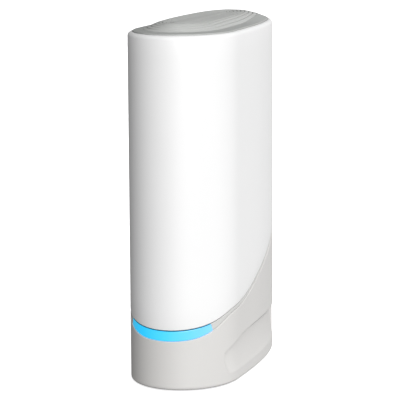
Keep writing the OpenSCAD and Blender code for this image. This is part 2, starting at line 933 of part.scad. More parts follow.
// Light guide: a clear fan from the board's lights to the back of the light bar
module light_guide() {
    entry_y = board_front_y - 0.2;
    low = under_z + led_h - light_h / 2;
    color("aliceblue") {
        intersection() {
            slab(wall + fit_gap / 2, low, low + light_h);
            translate([0, 0, low]) linear_extrude(light_h) polygon([
                [board_back_x, entry_y], [board_face_x + 4, entry_y],
                [light_w, entry_y - light_neck], [light_w, nose_y], [-light_w, nose_y],
                [-light_w, entry_y - light_neck]
            ]);
        }
        translate([board_back_x, entry_y - light_tab[1], low - light_tab[2]])
            cube([board_t + light_tab[0], light_tab[1], light_h + 2 * light_tab[2]]);
    }
}

front_cover();
trim_band();
light_bar();
base_shell();
rear_cover();
connector_panel();
top_bezel();
top_grille();
bottom_plate();
rubber_feet();
base_screws();
rating_label();
inner_frame();
main_board();
board_screws();
modem_chip();
thermal_pad();
heatsink();
heatsink_pins();
memory_chips();
flash_chip();
network_chip();
tuner_chip();
shield_frame();
shield_lid();
coax_body();
coax_insulator();
coax_contact();
coax_washer();
coax_nut();
jack_case(upper_jack_h);  // upper_jack_case
jack_case(lower_jack_h);  // lower_jack_case
jack_insert(upper_jack_h);  // upper_jack_insert
jack_insert(lower_jack_h);  // lower_jack_insert
jack_contacts();
jack_leds();
line_magnetics();
power_jack();
power_pin();
reset_switch();
reset_plunger();
power_inductors();
capacitors();
crystal();
status_leds();
light_guide();
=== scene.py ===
import math

import bmesh
import bpy
import numpy as np
from mathutils import Matrix, Vector


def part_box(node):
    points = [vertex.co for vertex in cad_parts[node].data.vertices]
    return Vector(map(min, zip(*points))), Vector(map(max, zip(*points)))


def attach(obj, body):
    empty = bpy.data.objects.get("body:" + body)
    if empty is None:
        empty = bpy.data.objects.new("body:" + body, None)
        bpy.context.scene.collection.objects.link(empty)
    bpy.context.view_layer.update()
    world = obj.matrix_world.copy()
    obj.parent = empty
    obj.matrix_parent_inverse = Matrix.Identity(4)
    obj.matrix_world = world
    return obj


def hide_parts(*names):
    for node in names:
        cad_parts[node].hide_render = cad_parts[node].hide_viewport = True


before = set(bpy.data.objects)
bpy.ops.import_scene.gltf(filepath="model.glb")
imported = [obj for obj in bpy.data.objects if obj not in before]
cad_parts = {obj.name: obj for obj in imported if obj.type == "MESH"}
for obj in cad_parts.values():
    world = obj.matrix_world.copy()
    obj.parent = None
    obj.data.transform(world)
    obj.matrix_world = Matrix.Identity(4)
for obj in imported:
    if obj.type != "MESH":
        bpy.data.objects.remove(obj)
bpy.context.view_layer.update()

MM = 0.001
BODY = "housing"

# ---------------------------------------------------------------- driving sizes
cover_low, cover_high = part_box("front_cover")
rear_low, rear_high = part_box("rear_cover")
HALF_W = cover_high.x
NOSE_LEN = 36.7 * MM
WIDE_Y = cover_low.y + NOSE_LEN
TAIL_LEN = rear_high.y - WIDE_Y
TAIL_POWER = 2.82
SPLIT_Y = rear_low.y
UNDER_Z = rear_low.z
RIM_Z = rear_high.z
WALL = 2.6 * MM
SEAM = 0.15 * MM
SHADOW_GAP = 0.5 * MM
END_ROUND = 0.3 * MM
MERGE = 1e-7
CORNER_STEPS = 6
SHARP = 35

EDGE_H = 43.8 * MM
EDGE_SLOPE = 0.3
EDGE_BEND = 0.0013 / MM
EDGE_SWELL = 2.5 * MM
SWELL_Y = -9.2 * MM
SWELL_LEN = 13.5 * MM
BAR_H = 6.35 * MM
TRIM_H = 2.65 * MM
BAR_BLEND_Y = -34.8 * MM
BAR_BLEND_LEN = 27.5 * MM
BAR_END_Y = -23.9 * MM
BAR_LEAN = 1.2 * MM
BAR_REACH = 23 * MM


# ---------------------------------------------------------------- plan outline
def reach_and_power(phi):
    """Length and power of the outline's quarter at angle phi: an ellipse ahead, a superellipse behind."""
    ahead = np.sin(phi) < 0
    return np.where(ahead, NOSE_LEN, TAIL_LEN), np.where(ahead, 2.0, TAIL_POWER)


def unit_point(phi, power):
    """Point of |x|^p + |y|^p = 1 in direction phi."""
    c, s = np.cos(phi), np.sin(phi)
    r = (np.abs(c) ** power + np.abs(s) ** power) ** (-1 / power)
    return r * c, r * s


def plan(phi):
    """Point of the outline |x/b|^p + |y/a|^p = 1, for b and a its half width and its length, at angle phi."""
    reach, power = reach_and_power(phi)
    x, y = unit_point(phi, power)
    return HALF_W * x, WIDE_Y + reach * y


def plan_normal(phi):
    """Outward unit normal of the outline: the gradient of |x/b|^p + |y/a|^p."""
    reach, power = reach_and_power(phi)
    x, y = plan(phi)
    u, v = x / HALF_W, (y - WIDE_Y) / reach
    gx = np.sign(u) * np.abs(u) ** (power - 1) / HALF_W
    gy = np.sign(v) * np.abs(v) ** (power - 1) / reach
    length = np.hypot(gx, gy)
    return gx / length, gy / length


def half_outline_table():
    """Arc length from the nose tip against angle, along the right half of the outline."""
    phi = np.linspace(-np.pi / 2, np.pi / 2, 6001)
    x, y = plan(phi)
    steps = np.hypot(np.diff(x), np.diff(y))
    return np.concatenate([[0], np.cumsum(steps)]), phi


ARC_TABLE, PHI_TABLE = half_outline_table()
HALF_ROUND = ARC_TABLE[-1]


def phi_at(s):
    """Angle at arc length s from the nose tip, positive to the right and going on past the rear tip."""
    s = (np.asarray(s, float) + HALF_ROUND) % (2 * HALF_ROUND) - HALF_ROUND
    phi = np.interp(np.abs(s), ARC_TABLE, PHI_TABLE)
    return np.where(s < 0, -np.pi - phi, phi)


def s_at_y(y):
    """Arc length from the nose tip at which the right half of the outline reaches y."""
    return float(np.interp(y, plan(PHI_TABLE)[1], ARC_TABLE))


SPLIT_S = s_at_y(SPLIT_Y)


def smooth(t):
    """The step 3t^2 - 2t^3 from 0 to 1, level at both ends."""
    t = np.clip(t, 0, 1)
    return t * t * (3 - 2 * t)


def edge_z(y):
    """Height of the front cover's lower edge: a rising parabola and a soft bell-shaped swell."""
    back = y - WIDE_Y
    swell = EDGE_SWELL * np.exp(-(((back - SWELL_Y) / SWELL_LEN) ** 2))
    return UNDER_Z + EDGE_H + EDGE_SLOPE * back + EDGE_BEND * back**2 + swell


def base_z(y):
    """Height of the base's upper edge: the cover's edge less the band, which narrows behind the light bar."""
    t = (y - WIDE_Y - BAR_BLEND_Y) / BAR_BLEND_LEN
    return edge_z(y) - BAR_H - (TRIM_H - BAR_H) * smooth(t)


# ---------------------------------------------------------------- meshes
def add_mesh(name, points, faces, finish, sharp=SHARP):
    """One piece from its points and faces, normals outward, smooth but for edges over sharp degrees."""
    mesh = bpy.data.meshes.new(name)
    mesh.from_pydata(np.asarray(points, float).tolist(), [], faces)
    work = bmesh.new()
    work.from_mesh(mesh)
    bmesh.ops.remove_doubles(work, verts=work.verts, dist=MERGE)
    bmesh.ops.dissolve_degenerate(work, dist=MERGE / 10, edges=work.edges)
    bmesh.ops.recalc_face_normals(work, faces=work.faces)
    work.to_mesh(mesh)
    work.free()
    mesh.polygons.foreach_set("use_smooth", [True] * len(mesh.polygons))
    mesh.set_sharp_from_angle(angle=math.radians(sharp))
    piece = bpy.data.objects.new(name, mesh)
    bpy.context.scene.collection.objects.link(piece)
    piece.data.materials.append(finish)
    return piece


def grid_faces(rows, columns, wrap_rows, wrap_columns):
    """Quads of a grid of points numbered row by row."""
    i = np.arange(rows if wrap_rows else rows - 1)[:, None]
    j = np.arange(columns if wrap_columns else columns - 1)[None, :]
    i2, j2 = (i + 1) % rows, (j + 1) % columns
    quads = np.stack([i * columns + j, i * columns + j2, i2 * columns + j2, i2 * columns + j], -1)
    return quads.reshape(-1, 4).tolist()


def loft(name, points, finish, closed_path=False):
    """A closed profile along a path, from points of shape (stations, profile, 3). Open paths get end caps."""
    stations, profile = points.shape[:2]
    faces = grid_faces(stations, profile, closed_path, True)
    if not closed_path:
        last = (stations - 1) * profile
        faces.append(list(range(profile)))
        faces.append(list(range(last + profile - 1, last - 1, -1)))
    return add_mesh(name, points.reshape(-1, 3), faces, finish)


def wall_points(s, inset, z):
    """Points of a wall: the outline at arc length s, moved in by inset along its normal, at height z."""
    s, inset, z = np.broadcast_arrays(s, inset, z)
    phi = phi_at(s)
    x, y = plan(phi)
    nx, ny = plan_normal(phi)
    return np.stack([x - nx * inset, y - ny * inset, z], -1)


def profile(rows):
    """A list of (inset, share of the way up, extra height) as three arrays."""
    table = np.array(rows, float)
    return table[:, 0], table[:, 1], table[:, 2]


def corner(radius, low, inset=0.0):
    """Rows of a rounded outer corner, from the outside in: at the low edge if low, else at the high one."""
    rows = []
    for a in np.linspace(0, np.pi / 2, CORNER_STEPS):
        side, rise = radius * (1 - math.cos(a)), radius * (1 - math.sin(a))
        rows.append((inset + side, 0, rise) if low else (inset + side, 1, -rise))
    return rows


def shell_rows(low_radius, high_radius, outer, inner, between):
    """Rows round a shell's section: up the outside with rounded edges, then down the inside."""
    up = corner(low_radius, True, inset=outer)[::-1]
    for w in np.linspace(0, 1, between + 2)[1:-1]:
        up.append((outer, w, low_radius * (1 - w) - high_radius * w))
    up += corner(high_radius, False, inset=outer)
    return up + [(inner, 1, 0), (inner, 0, 0)]


def end_inset(s):
    """How far an outer face is drawn in beside the path's ends, as a quarter round of END_ROUND."""
    t = np.minimum(np.abs(s - s[:1]), np.abs(s - s[-1:])) / END_ROUND
    return END_ROUND * (1 - np.sqrt(1 - (1 - np.clip(t, 0, 1)) ** 2))


def is_outer(inset):
    """Whether a row lies on a wall's outer face or its edges, and not on the inner face."""
    return inset < WALL * 0.9


def path_between(start, end, count):
    """Arc lengths from start to end, evenly spaced, with a few close together at both ends."""
    close = END_ROUND * (1 - np.cos(np.linspace(0, np.pi / 2, 5)))
    middle = np.linspace(start + END_ROUND, end - END_ROUND, count)
    return np.concatenate([start + close[:-1], middle, (end - close[:-1])[::-1]])


def wall_piece(name, s, low, high, rows, finish, hollow=None):
    """A wall along the outline at the arc lengths s, a column of them or one for each row of its section.

    A row is (inset, share of the way from low(y) up to high(y), extra height). hollow(y, z) is how far
    the outside is sunk.
    """
    inset, share, extra = profile(rows)
    s = s * np.ones_like(inset)
    y = plan(phi_at(s))[1]
    z = low(y) * (1 - share) + high(y) * share + extra
    sunk = end_inset(s)
    if hollow:
        sunk = hollow(y, z) + sunk
    return place(loft(name, wall_points(s, inset + sunk * is_outer(inset), z), finish))


def place(piece, body=BODY):
    """Makes the piece move with a body, and returns it."""
    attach(piece, body)
    return piece


# ---------------------------------------------------------------- shader maths
class Value:
    """A number inside a material. Arithmetic on it adds Math nodes."""

    def __init__(self, finish, socket):
        self.finish = finish
        self.socket = socket

    def _math(self, operation, *values):
        """The result of a Math node on these numbers and values."""
        inputs = dict(enumerate(values))
        return self.finish.node("ShaderNodeMath", {"operation": operation}, inputs)

    def __add__(self, other):
        return self._math("ADD", self, other)

    __radd__ = __add__

    def __sub__(self, other):
        return self._math("SUBTRACT", self, other)

    def __rsub__(self, other):
        return self._math("SUBTRACT", other, self)

    def __mul__(self, other):
        return self._math("MULTIPLY", self, other)

    __rmul__ = __mul__

    def __truediv__(self, other):
        return self._math("DIVIDE", self, other)

    def size(self):
        """Its distance from 0."""
        return self._math("ABSOLUTE", self)

    def fraction(self):
        """What is left over a whole number."""
        return self._math("FRACT", self)

    def larger(self, other):
        """The larger of the two."""
        return self._math("MAXIMUM", self, other)

    def clamped(self, low=0.0, high=1.0):
        """Held between low and high."""
        return self.finish.node("ShaderNodeClamp", {}, {"Value": self, "Min": low, "Max": high})


class Finish:
    """One material with a Principled shader, and short ways to add nodes to it."""

    def __init__(self, name, **constants):
        self.material = bpy.data.materials.new(name)
        self.material.use_nodes = True
        self.tree = self.material.node_tree
        self.tree.nodes.clear()
        self.shader = self.tree.nodes.new("ShaderNodeBsdfPrincipled")
        output = self.tree.nodes.new("ShaderNodeOutputMaterial")
        self.tree.links.new(self.shader.outputs[0], output.inputs["Surface"])
        for key, value in constants.items():
            self.feed(key.replace("_", " ").title().replace("Ior", "IOR"), value)

    def feed(self, socket, value):
        """Sets or links an input of the Principled shader."""
        self._give(self.shader.inputs[socket], value)

    def _give(self, socket, value):
        """Links a Value to a socket, or sets the socket to a number or a colour."""
        if isinstance(value, Value):
            self.tree.links.new(value.socket, socket)
        elif isinstance(value, (tuple, list)) and len(value) == 3 and socket.type == "RGBA":
            socket.default_value = (*value, 1)
        else:
            socket.default_value = value

    def node(self, kind, settings, inputs, out=0):
        """Any node, from its type, its settings and its inputs, as the Value of its output out."""
        made = self.tree.nodes.new(kind)
        for key, value in settings.items():
            if key == "stops":
                self._set_stops(made.color_ramp, value)
            else:
                setattr(made, key, value)
        for key, value in inputs.items():
            self._give(made.inputs[key], value)
        return Value(self, made.outputs[out])

    @staticmethod
    def _set_stops(ramp, stops):
        """Gives a colour ramp its (place, colour or grey) stops."""
        while len(ramp.elements) < len(stops):
            ramp.elements.new(0.5)
        for element, (at, colour) in zip(ramp.elements, stops):
            element.position = at
            element.color = (*colour, 1) if isinstance(colour, (tuple, list)) else (colour,) * 3 + (1,)

    def place(self, stretch=(1, 1, 1)):
        """Object coordinates in metres, multiplied by stretch."""
        spot = self.node("ShaderNodeTexCoord", {}, {}, "Object")
        if stretch == (1, 1, 1):
            return spot
        return self.node("ShaderNodeVectorMath", {"operation": "MULTIPLY"}, {0: spot, 1: stretch})

    def noise(self, size, detail=3.0, stretch=(1, 1, 1)):
        """Noise of this grain size in metres, from 0 to 1."""
        inputs = {"Vector": self.place(stretch), "Scale": 1 / size, "Detail": detail}
        return self.node("ShaderNodeTexNoise", {}, inputs)

    def axis(self, index):
        """The x, y or z of the place, in metres."""
        return self.node("ShaderNodeSeparateXYZ", {}, {0: self.place()}, index)

    def mix(self, share, a, b):
        """Colour a where share is 0, and colour b where it is 1."""
        inputs = {0: share, 6: a, 7: b}
        return self.node("ShaderNodeMix", {"data_type": "RGBA"}, inputs, 2)

    def ramp(self, value, stops):
        """The colour or grey that value falls on among the stops, from 0 to 1."""
        return self.node("ShaderNodeValToRGB", {"stops": stops}, {0: value})

    def bump(self, height, distance):
        """Tilts the normal as if the surface stood out by height times distance, in metres."""
        inputs = {"Height": height, "Distance": distance, "Strength": 1.0}
        self.feed("Normal", self.node("ShaderNodeBump", {}, inputs))


def moulded_plastic(name, colour, grain=0.35 * MM, depth=0.006 * MM, roughness=0.42, spread=0.03, **more):
    """Moulded plastic: a fine sparked grain, faint flow clouds in its colour and uneven gloss."""
    f = Finish(name, **more)
    clouds = f.noise(38 * MM, 2.0)
    fine = f.noise(grain, 4.0)
    paler = tuple(min(1.0, c * (1 + spread)) for c in colour)
    darker = tuple(c * (1 - spread) for c in colour)
    f.feed("Base Color", f.mix(clouds * 0.7 + fine * 0.3, darker, paler))
    f.feed("Roughness", roughness - 0.05 + 0.1 * (clouds * 0.5 + fine * 0.5))
    f.bump(fine, depth)
    return f.material


white_shell = moulded_plastic("white_shell_plastic", (0.86, 0.86, 0.86), depth=0.003 * MM,
                              roughness=0.42, spread=0.012, coat_weight=0.04)
grey_shell = moulded_plastic("grey_shell_plastic", (0.655, 0.645, 0.63), roughness=0.46)
trim_grey = moulded_plastic("trim_plastic", (0.60, 0.60, 0.585), roughness=0.4)
vent_grey = moulded_plastic("vent_plastic", (0.50, 0.51, 0.495), roughness=0.5)
# The vent's lip and border: darker copies of the vent plastic, painted shade for the groove line round the
# vent and for the border's dark left tip and near side.
bezel_lip_shaded_grey = moulded_plastic("vent_lip_painted_shade", (0.42, 0.43, 0.42), roughness=0.45)
bezel_border_shaded_grey = moulded_plastic("vent_border_painted_shade", (0.37, 0.382, 0.37), roughness=0.5)
plate_grey = moulded_plastic("underside_plastic", (0.30, 0.30, 0.305), grain=0.5 * MM, depth=0.012 * MM,
                             roughness=0.55)
panel_grey = moulded_plastic("panel_plastic", (0.40, 0.405, 0.41), grain=0.5 * MM, depth=0.012 * MM,
                             roughness=0.5)


def lit_lens(name):
    """The light bar: a milky cyan lens lit from behind, deeper on the left and paler on the right."""
    f = Finish(name, roughness=0.22, coat_weight=0.4)
    along = (f.axis(0) / (2 * BAR_REACH) + 0.5).clamped()
    milk = f.noise(3 * MM, 2.0)
    glow = f.ramp(along + milk * 0.05 - 0.025, [
        (0.0, (0.0, 0.42, 0.75)), (0.18, (0.0, 0.48, 0.95)), (0.5, (0.07, 0.54, 1.0)),
        (0.8, (0.17, 0.54, 1.0)), (1.0, (0.29, 0.54, 1.0))])
    f.feed("Base Color", f.mix(milk * 0.2, (0.02, 0.30, 0.42), (0.05, 0.36, 0.5)))
    # The "glow" attribute dims the glow on the rows under the cover: painted shade for the cover's shadow
    # line along the lens.
    shade_dimmed_rows = {"attribute_type": "GEOMETRY", "attribute_name": "glow"}
    shade_dimmed_glow = f.node("ShaderNodeAttribute", shade_dimmed_rows, {}, "Fac")
    f.feed("Emission Color", f.mix(shade_dimmed_glow, (0.0, 0.0, 0.0), glow))
    f.feed("Emission Strength", 0.85)
    f.bump(f.noise(0.8 * MM), 0.01 * MM)
    return f.material


cyan_lens = lit_lens("light_bar_lens")


def metal(name, colour, roughness, grain=0.25 * MM, stretch=(1, 1, 1), depth=0.002 * MM):
    """Bare or plated metal: fine drawn or tumbled marks, faint stains and uneven polish."""
    f = Finish(name, metallic=1.0)
    marks = f.noise(grain, 3.0, stretch)
    stains = f.noise(6 * MM, 3.0)
    f.feed("Base Color", f.mix(stains, tuple(c * 0.88 for c in colour), colour))
    f.feed("Roughness", (roughness - 0.08 + 0.12 * marks + 0.06 * stains).clamped(0.05, 1))
    f.bump(marks, depth)
    return f.material


def circuit_board(name):
    """Solder-masked laminate: green mask, paler slanting tracks and fields, tinned pads and a faint weave."""
    f = Finish(name, roughness=0.32, coat_weight=0.3)
    cells = f.node("ShaderNodeTexVoronoi", {"distance": "CHEBYCHEV"},
                   {"Vector": f.place((0, 1, 1)), "Scale": 1 / (2.6 * MM)})
    lanes = f.node("ShaderNodeTexWave", {"wave_type": "BANDS", "bands_direction": "DIAGONAL"},
                   {"Vector": f.place((0, 1, 1)), "Scale": 120.0, "Distortion": 0.0})
    track = f.ramp(lanes, [(0.55, 0.0), (0.62, 1.0)])
    field = f.ramp(f.noise(11 * MM, 1.0), [(0.48, 0.0), (0.52, 1.0)])
    pad = f.ramp(cells, [(0.10, 1.0), (0.14, 0.0)])
    weave = f.noise(0.5 * MM, 2.0, (1, 1, 3))
    mask = f.mix(weave * 0.4, (0.012, 0.085, 0.035), (0.02, 0.12, 0.05))
    mask = f.mix(track * 0.7, mask, (0.035, 0.19, 0.08))
    f.feed("Base Color", f.mix(pad, f.mix(field * 0.6, mask, (0.03, 0.15, 0.065)), (0.55, 0.53, 0.48)))
    f.feed("Roughness", 0.28 + 0.12 * weave)
    f.bump(track * 0.5 + pad, 0.03 * MM)
    return f.material


def label_film(name):
    """A blank matt label: pale film with a thin printed frame just inside its edges."""
    f = Finish(name)
    low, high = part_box("rating_label")
    across = (f.axis(0) / high.x).size()
    along = ((f.axis(1) - (low.y + high.y) / 2) / ((high.y - low.y) / 2)).size()
    reach = across.larger(along)
    frame_line = f.ramp(reach, [(0.855, 0.0), (0.862, 1.0), (0.885, 1.0), (0.892, 0.0)])
    fibre = f.noise(0.3 * MM, 4.0)
    film = f.mix(fibre, (0.60, 0.61, 0.62), (0.68, 0.69, 0.70))
    f.feed("Base Color", f.mix(frame_line, film, (0.25, 0.26, 0.27)))
    f.feed("Roughness", 0.45 + 0.15 * fibre)
    f.bump(fibre, 0.004 * MM)
    return f.material


def clear_plastic(name, colour, roughness):
    """Clear or tinted moulded plastic that lets light through, with faint flow lines."""
    f = Finish(name, transmission_weight=0.85, ior=1.49)
    flow = f.noise(4 * MM, 2.0)
    f.feed("Base Color", f.mix(flow, tuple(c * 0.9 for c in colour), colour))
    f.feed("Roughness", roughness + 0.08 * flow)
    f.bump(flow, 0.02 * MM)
    return f.material


def capacitor_sleeve(name):
    """Dark blue shrink sleeve with pale rings and a fine skin."""
    f = Finish(name, coat_weight=0.4)
    fine = f.noise(0.4 * MM)
    ring = f.ramp((f.axis(2) / (8 * MM)).fraction(), [(0.06, 1.0), (0.08, 0.0)])
    sleeve = f.mix(fine, (0.010, 0.016, 0.055), (0.016, 0.024, 0.075))
    f.feed("Base Color", f.mix(ring, sleeve, (0.45, 0.47, 0.52)))
    f.feed("Roughness", 0.3 + 0.1 * fine)
    f.bump(fine, 0.004 * MM)
    return f.material


foot_rubber = moulded_plastic("foot_rubber", (0.045, 0.045, 0.047), 0.22 * MM, 0.02 * MM, 0.78, 0.25)
jack_black = moulded_plastic("jack_plastic", (0.022, 0.022, 0.024), 0.3 * MM, 0.008 * MM, 0.4, 0.15)
nylon = moulded_plastic("natural_nylon", (0.70, 0.67, 0.58), 0.3 * MM, 0.006 * MM, 0.38, 0.05,
                        subsurface_weight=0.2, subsurface_scale=0.8 * MM)
frame_black = moulded_plastic("chassis_plastic", (0.055, 0.056, 0.06), 0.5 * MM, 0.012 * MM, 0.5, 0.12)
epoxy = moulded_plastic("chip_epoxy", (0.028, 0.028, 0.03), 0.09 * MM, 0.006 * MM, 0.55, 0.15)
ferrite = moulded_plastic("ferrite", (0.075, 0.074, 0.072), 0.15 * MM, 0.015 * MM, 0.7, 0.15)
pad_pink = moulded_plastic("thermal_silicone", (0.52, 0.34, 0.36), 0.2 * MM, 0.012 * MM, 0.7, 0.06)
nickel = metal("nickel_plate", (0.73, 0.71, 0.67), 0.24)
gold = metal("gold_plate", (0.86, 0.62, 0.24), 0.22)
tin_steel = metal("tin_plated_steel", (0.66, 0.67, 0.68), 0.34, 0.3 * MM, (1, 0.08, 1))
zinc_steel = metal("zinc_plated_steel", (0.55, 0.57, 0.60), 0.33, 0.2 * MM)
aluminium = metal("extruded_aluminium", (0.62, 0.63, 0.65), 0.42, 0.35 * MM, (1, 1, 0.05), 0.004 * MM)
laminate = circuit_board("board_laminate")
label = label_film("label_film")
acrylic = clear_plastic("clear_acrylic", (0.92, 0.96, 0.98), 0.06)
amber_green = clear_plastic("indicator_lens", (0.62, 0.72, 0.30), 0.2)
sleeve = capacitor_sleeve("capacitor_sleeve")

# ---------------------------------------------------------------- outer shells
ROUND_LOW = 0.5 * MM
ROUND_RIM = 2.3 * MM
FOOT_ROUND = 1.9 * MM


def rim_z(y):
    """Height of the rim, the same all round."""
    return np.full_like(y, RIM_Z)


def front_cover():
    """The white sleeve: round the nose and both flanks, from its rising lower edge to the rounded rim."""
    rows = shell_rows(ROUND_LOW, ROUND_RIM, 0, WALL, 14)
    s = path_between(-SPLIT_S + SEAM, SPLIT_S - SEAM, 420)[:, None]
    piece = wall_piece("front_cover_skin", s, edge_z, rim_z, rows, white_shell)
    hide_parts("front_cover")


def lower_band_z(y):
    """Height of the band's lower edge, a seam above the base."""
    return base_z(y) + SEAM


def upper_band_z(y):
    """Height of the band's upper edge, below the dark gap under the cover."""
    return edge_z(y) - SHADOW_GAP


BAR_S = s_at_y(WIDE_Y + BAR_END_Y)


def leaning_path(share, start, end, count, lean_start, lean_end):
    """Arc lengths from start to end for each profile row, with ends that lean as share goes from 0 to 1."""
    s = path_between(start, end, count)[:, None]
    t = (s - start) / (end - start)
    return s + ((1 - t) * lean_start + t * lean_end) * (0.5 - share)


def band_piece(name, start, end, count, lean_start, lean_end, rows, finish):
    """A strip of the band between base and cover, from start to end along the outline."""
    s = leaning_path(profile(rows)[1], start, end, count, lean_start, lean_end)
    return wall_piece(name, s, lower_band_z, upper_band_z, rows, finish)


def trim_band():
    """The trim strips on both flanks, set back a little from the cover and the base."""
    rows = shell_rows(0.25 * MM, 0.25 * MM, 0.3 * MM, WALL, 3)
    right = band_piece("trim_strip_right", BAR_S + SEAM, SPLIT_S - SEAM, 240, BAR_LEAN, 0, rows, trim_grey)
    left = band_piece("trim_strip_left", -SPLIT_S + SEAM, -BAR_S - SEAM, 240, 0, -BAR_LEAN, rows, trim_grey)
    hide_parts("trim_band")


def light_bar():
    """The lens across the nose, a little proud of the trim, with ends that lean outward below.

    The rows on its inside and along its top edge glow only faintly. This is painted shade: the dark line of
    the cover's shadow over its top edge, and the dark gap behind it.
    """
    rows = shell_rows(0.5 * MM, 0.35 * MM, 0.1 * MM, 2.4 * MM, 4)
    piece = band_piece("light_bar_lens", -BAR_S, BAR_S, 160, -BAR_LEAN, BAR_LEAN, rows, cyan_lens)
    inset, share, extra = profile(rows)
    # Painted shade: rows on the inside and along the top edge get a tenth of the glow, as if in the cover's
    # shadow.
    shade_dimmed_glow = np.where((inset > 1.5 * MM) | ((share == 1) & (extra > -0.12 * MM)), 0.1, 1.0)
    glow = piece.data.attributes.new("glow", "FLOAT", "POINT")
    glow.data.foreach_set("value", np.tile(shade_dimmed_glow, len(piece.data.vertices) // len(shade_dimmed_glow)))
    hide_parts("light_bar")


SCOOP_FRONT_Y = WIDE_Y - 15.3 * MM
SCOOP_END_Y = SPLIT_Y - 1.5 * MM
SCOOP_D = 2.2 * MM
SCOOP_LOW = 6.2 * MM
SCOOP_TURN = 6 * MM
SCOOP_TOP = 28 * MM
SCOOP_TOP_DROP = 9 * MM


def scoop_depth(y, z):
    """Depth of the hollow in each flank: a chamfer under the upper edge, then a slope that runs out below.

    Its upper edge rises as 1 - exp(-y), and its lower edge turns up at the front as a quarter ellipse.
    """
    t = np.clip((y - SCOOP_FRONT_Y) / (SCOOP_END_Y - SCOOP_FRONT_Y), 0, 1)
    top = UNDER_Z + SCOOP_TOP - SCOOP_TOP_DROP * np.exp(-(y - SCOOP_FRONT_Y) / (16 * MM))
    turn = np.clip(1 - (y - SCOOP_FRONT_Y) / SCOOP_TURN, 0, 1)
    low = UNDER_Z + SCOOP_LOW + 2 * MM * t + 9 * MM * (1 - np.sqrt(1 - turn**2))
    rise = np.clip((z - low) / np.maximum(top - low, MM), 0, 1)
    slope = 1 - (1 - rise) ** 2.6
    chamfer = np.clip((top - z) / (0.9 * MM + 2.6 * MM * t), 0, 1)
    fade = smooth((SCOOP_END_Y - y) / (3 * MM))
    inside = (y > SCOOP_FRONT_Y) & (z < top) & (z > low)
    return SCOOP_D * slope * chamfer * fade * inside


def under_z(y):
    """Height of the base's foot edge, the same all round."""
    return np.full_like(y, UNDER_Z)


def base_shell():
    """The grey base: a rounded foot edge, a hollow in each flank and an upper edge that follows the band."""
    rows = shell_rows(FOOT_ROUND, ROUND_LOW, 0, WALL, 90)
    s = path_between(-SPLIT_S + SEAM, SPLIT_S - SEAM, 520)[:, None]
    piece = wall_piece("base_shell_skin", s, under_z, base_z, rows, grey_shell, scoop_depth)
    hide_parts("base_shell")


# ---------------------------------------------------------------- rear cover
panel_low, panel_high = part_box("connector_panel")
PANEL_LIP = 1.4 * MM
WINDOW_X = panel_high.x - PANEL_LIP
WINDOW_LOW = panel_low.z + PANEL_LIP
WINDOW_HIGH = panel_high.z - PANEL_LIP
PANEL_BACK_Y = panel_low.y + 1.2 * MM
JAMB = 2.2 * MM


def s_at_x(x):
    """Arc length at which the rear of the outline's right half comes in to x."""
    behind = PHI_TABLE > 0
    return float(np.interp(-x, -plan(PHI_TABLE[behind])[0], ARC_TABLE[behind]))


def rear_columns():
    """Arc lengths round the back, and the places in their list of the window's two sides."""
    start, side, back = SPLIT_S + SEAM, s_at_x(WINDOW_X), HALF_ROUND
    flank = path_between(start, 2 * side - start, 60)
    flank = flank[flank < side]
    half = np.round(np.concatenate([flank, np.linspace(side, back, 30)]), 9)
    columns = np.concatenate([half, (2 * back - half[:-1])[::-1]])
    return columns, len(flank), len(columns) - 1 - len(flank)


def rear_section():
    """Rows of (inset, height) up the outside and down the inside, and which rows are the window's edges."""
    rows = [(inset, UNDER_Z + rise) for inset, _, rise in corner(ROUND_LOW, True)[::-1]]
    window = []
    for z in np.linspace(rows[-1][1], RIM_Z - ROUND_RIM, 48)[1:]:
        for edge in (WINDOW_LOW, WINDOW_HIGH):
            if rows[-1][1] < edge - 1e-6 <= z:
                window.append(len(rows))
                rows.append((0, edge))
        rows.append((0, z))
    rows += [(inset, RIM_Z + rise) for inset, _, rise in corner(ROUND_RIM, False)[1:]]
    inner = [(WALL, z) for _, z in rows[::-1]]
    for k, edge in zip(window, (WINDOW_LOW - JAMB, WINDOW_HIGH + JAMB)):
        inner[len(rows) - 1 - k] = (WALL, edge)
    return np.array(rows + inner), window


def window_loop(low_row, high_row, left, right, around):
    """Point numbers round the window on one face: up its left side, across, down and back."""
    step = 1 if low_row < high_row else -1
    up = [left * around + row for row in range(low_row, high_row, step)]
    across = [column * around + high_row for column in range(left, right)]
    down = [right * around + row for row in range(high_row, low_row, -step)]
    return up + across + down + [column * around + low_row for column in range(right, left, -1)]


def rear_cover():
    """The grey back: a wall round the rear with a rounded rim, and a window with a jamb in to the panel."""
    columns, left, right = rear_columns()
    section, (low, high) = rear_section()
    inset, z = section.T
    s = columns[:, None] * np.ones_like(inset)
    ends = end_inset(np.minimum(s, 2 * HALF_ROUND - s)) * is_outer(inset)
    points = wall_points(s, inset + ends, z)
    stations, around = points.shape[:2]
    inner_low, inner_high = around - 1 - low, around - 1 - high
    open_rows = {*range(low, high), *range(inner_high, inner_low)}
    faces = []
    for face in grid_faces(stations, around, False, True):
        column, row = divmod(face[0], around)
        if not (left <= column < right and row in open_rows):
            faces.append(face)
    last = (stations - 1) * around
    faces += [list(range(around)), list(range(last + around - 1, last - 1, -1))]
    points = points.reshape(-1, 3)
    outer_loop = window_loop(low, high, left, right, around)
    inner_loop = window_loop(inner_low, inner_high, left, right, around)
    jamb = points[outer_loop].copy()
    jamb[:, 1] = PANEL_BACK_Y
    jamb_loop = list(range(len(points), len(points) + len(jamb)))
    for ring, other in ((outer_loop, jamb_loop), (jamb_loop, inner_loop)):
        for i in range(len(ring)):
            j = (i + 1) % len(ring)
            faces.append([ring[i], ring[j], other[j], other[i]])
    piece = place(add_mesh("rear_cover_skin", np.vstack([points, jamb]), faces, grey_shell))
    ease(piece, 0.35 * MM, 50)
    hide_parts("rear_cover")


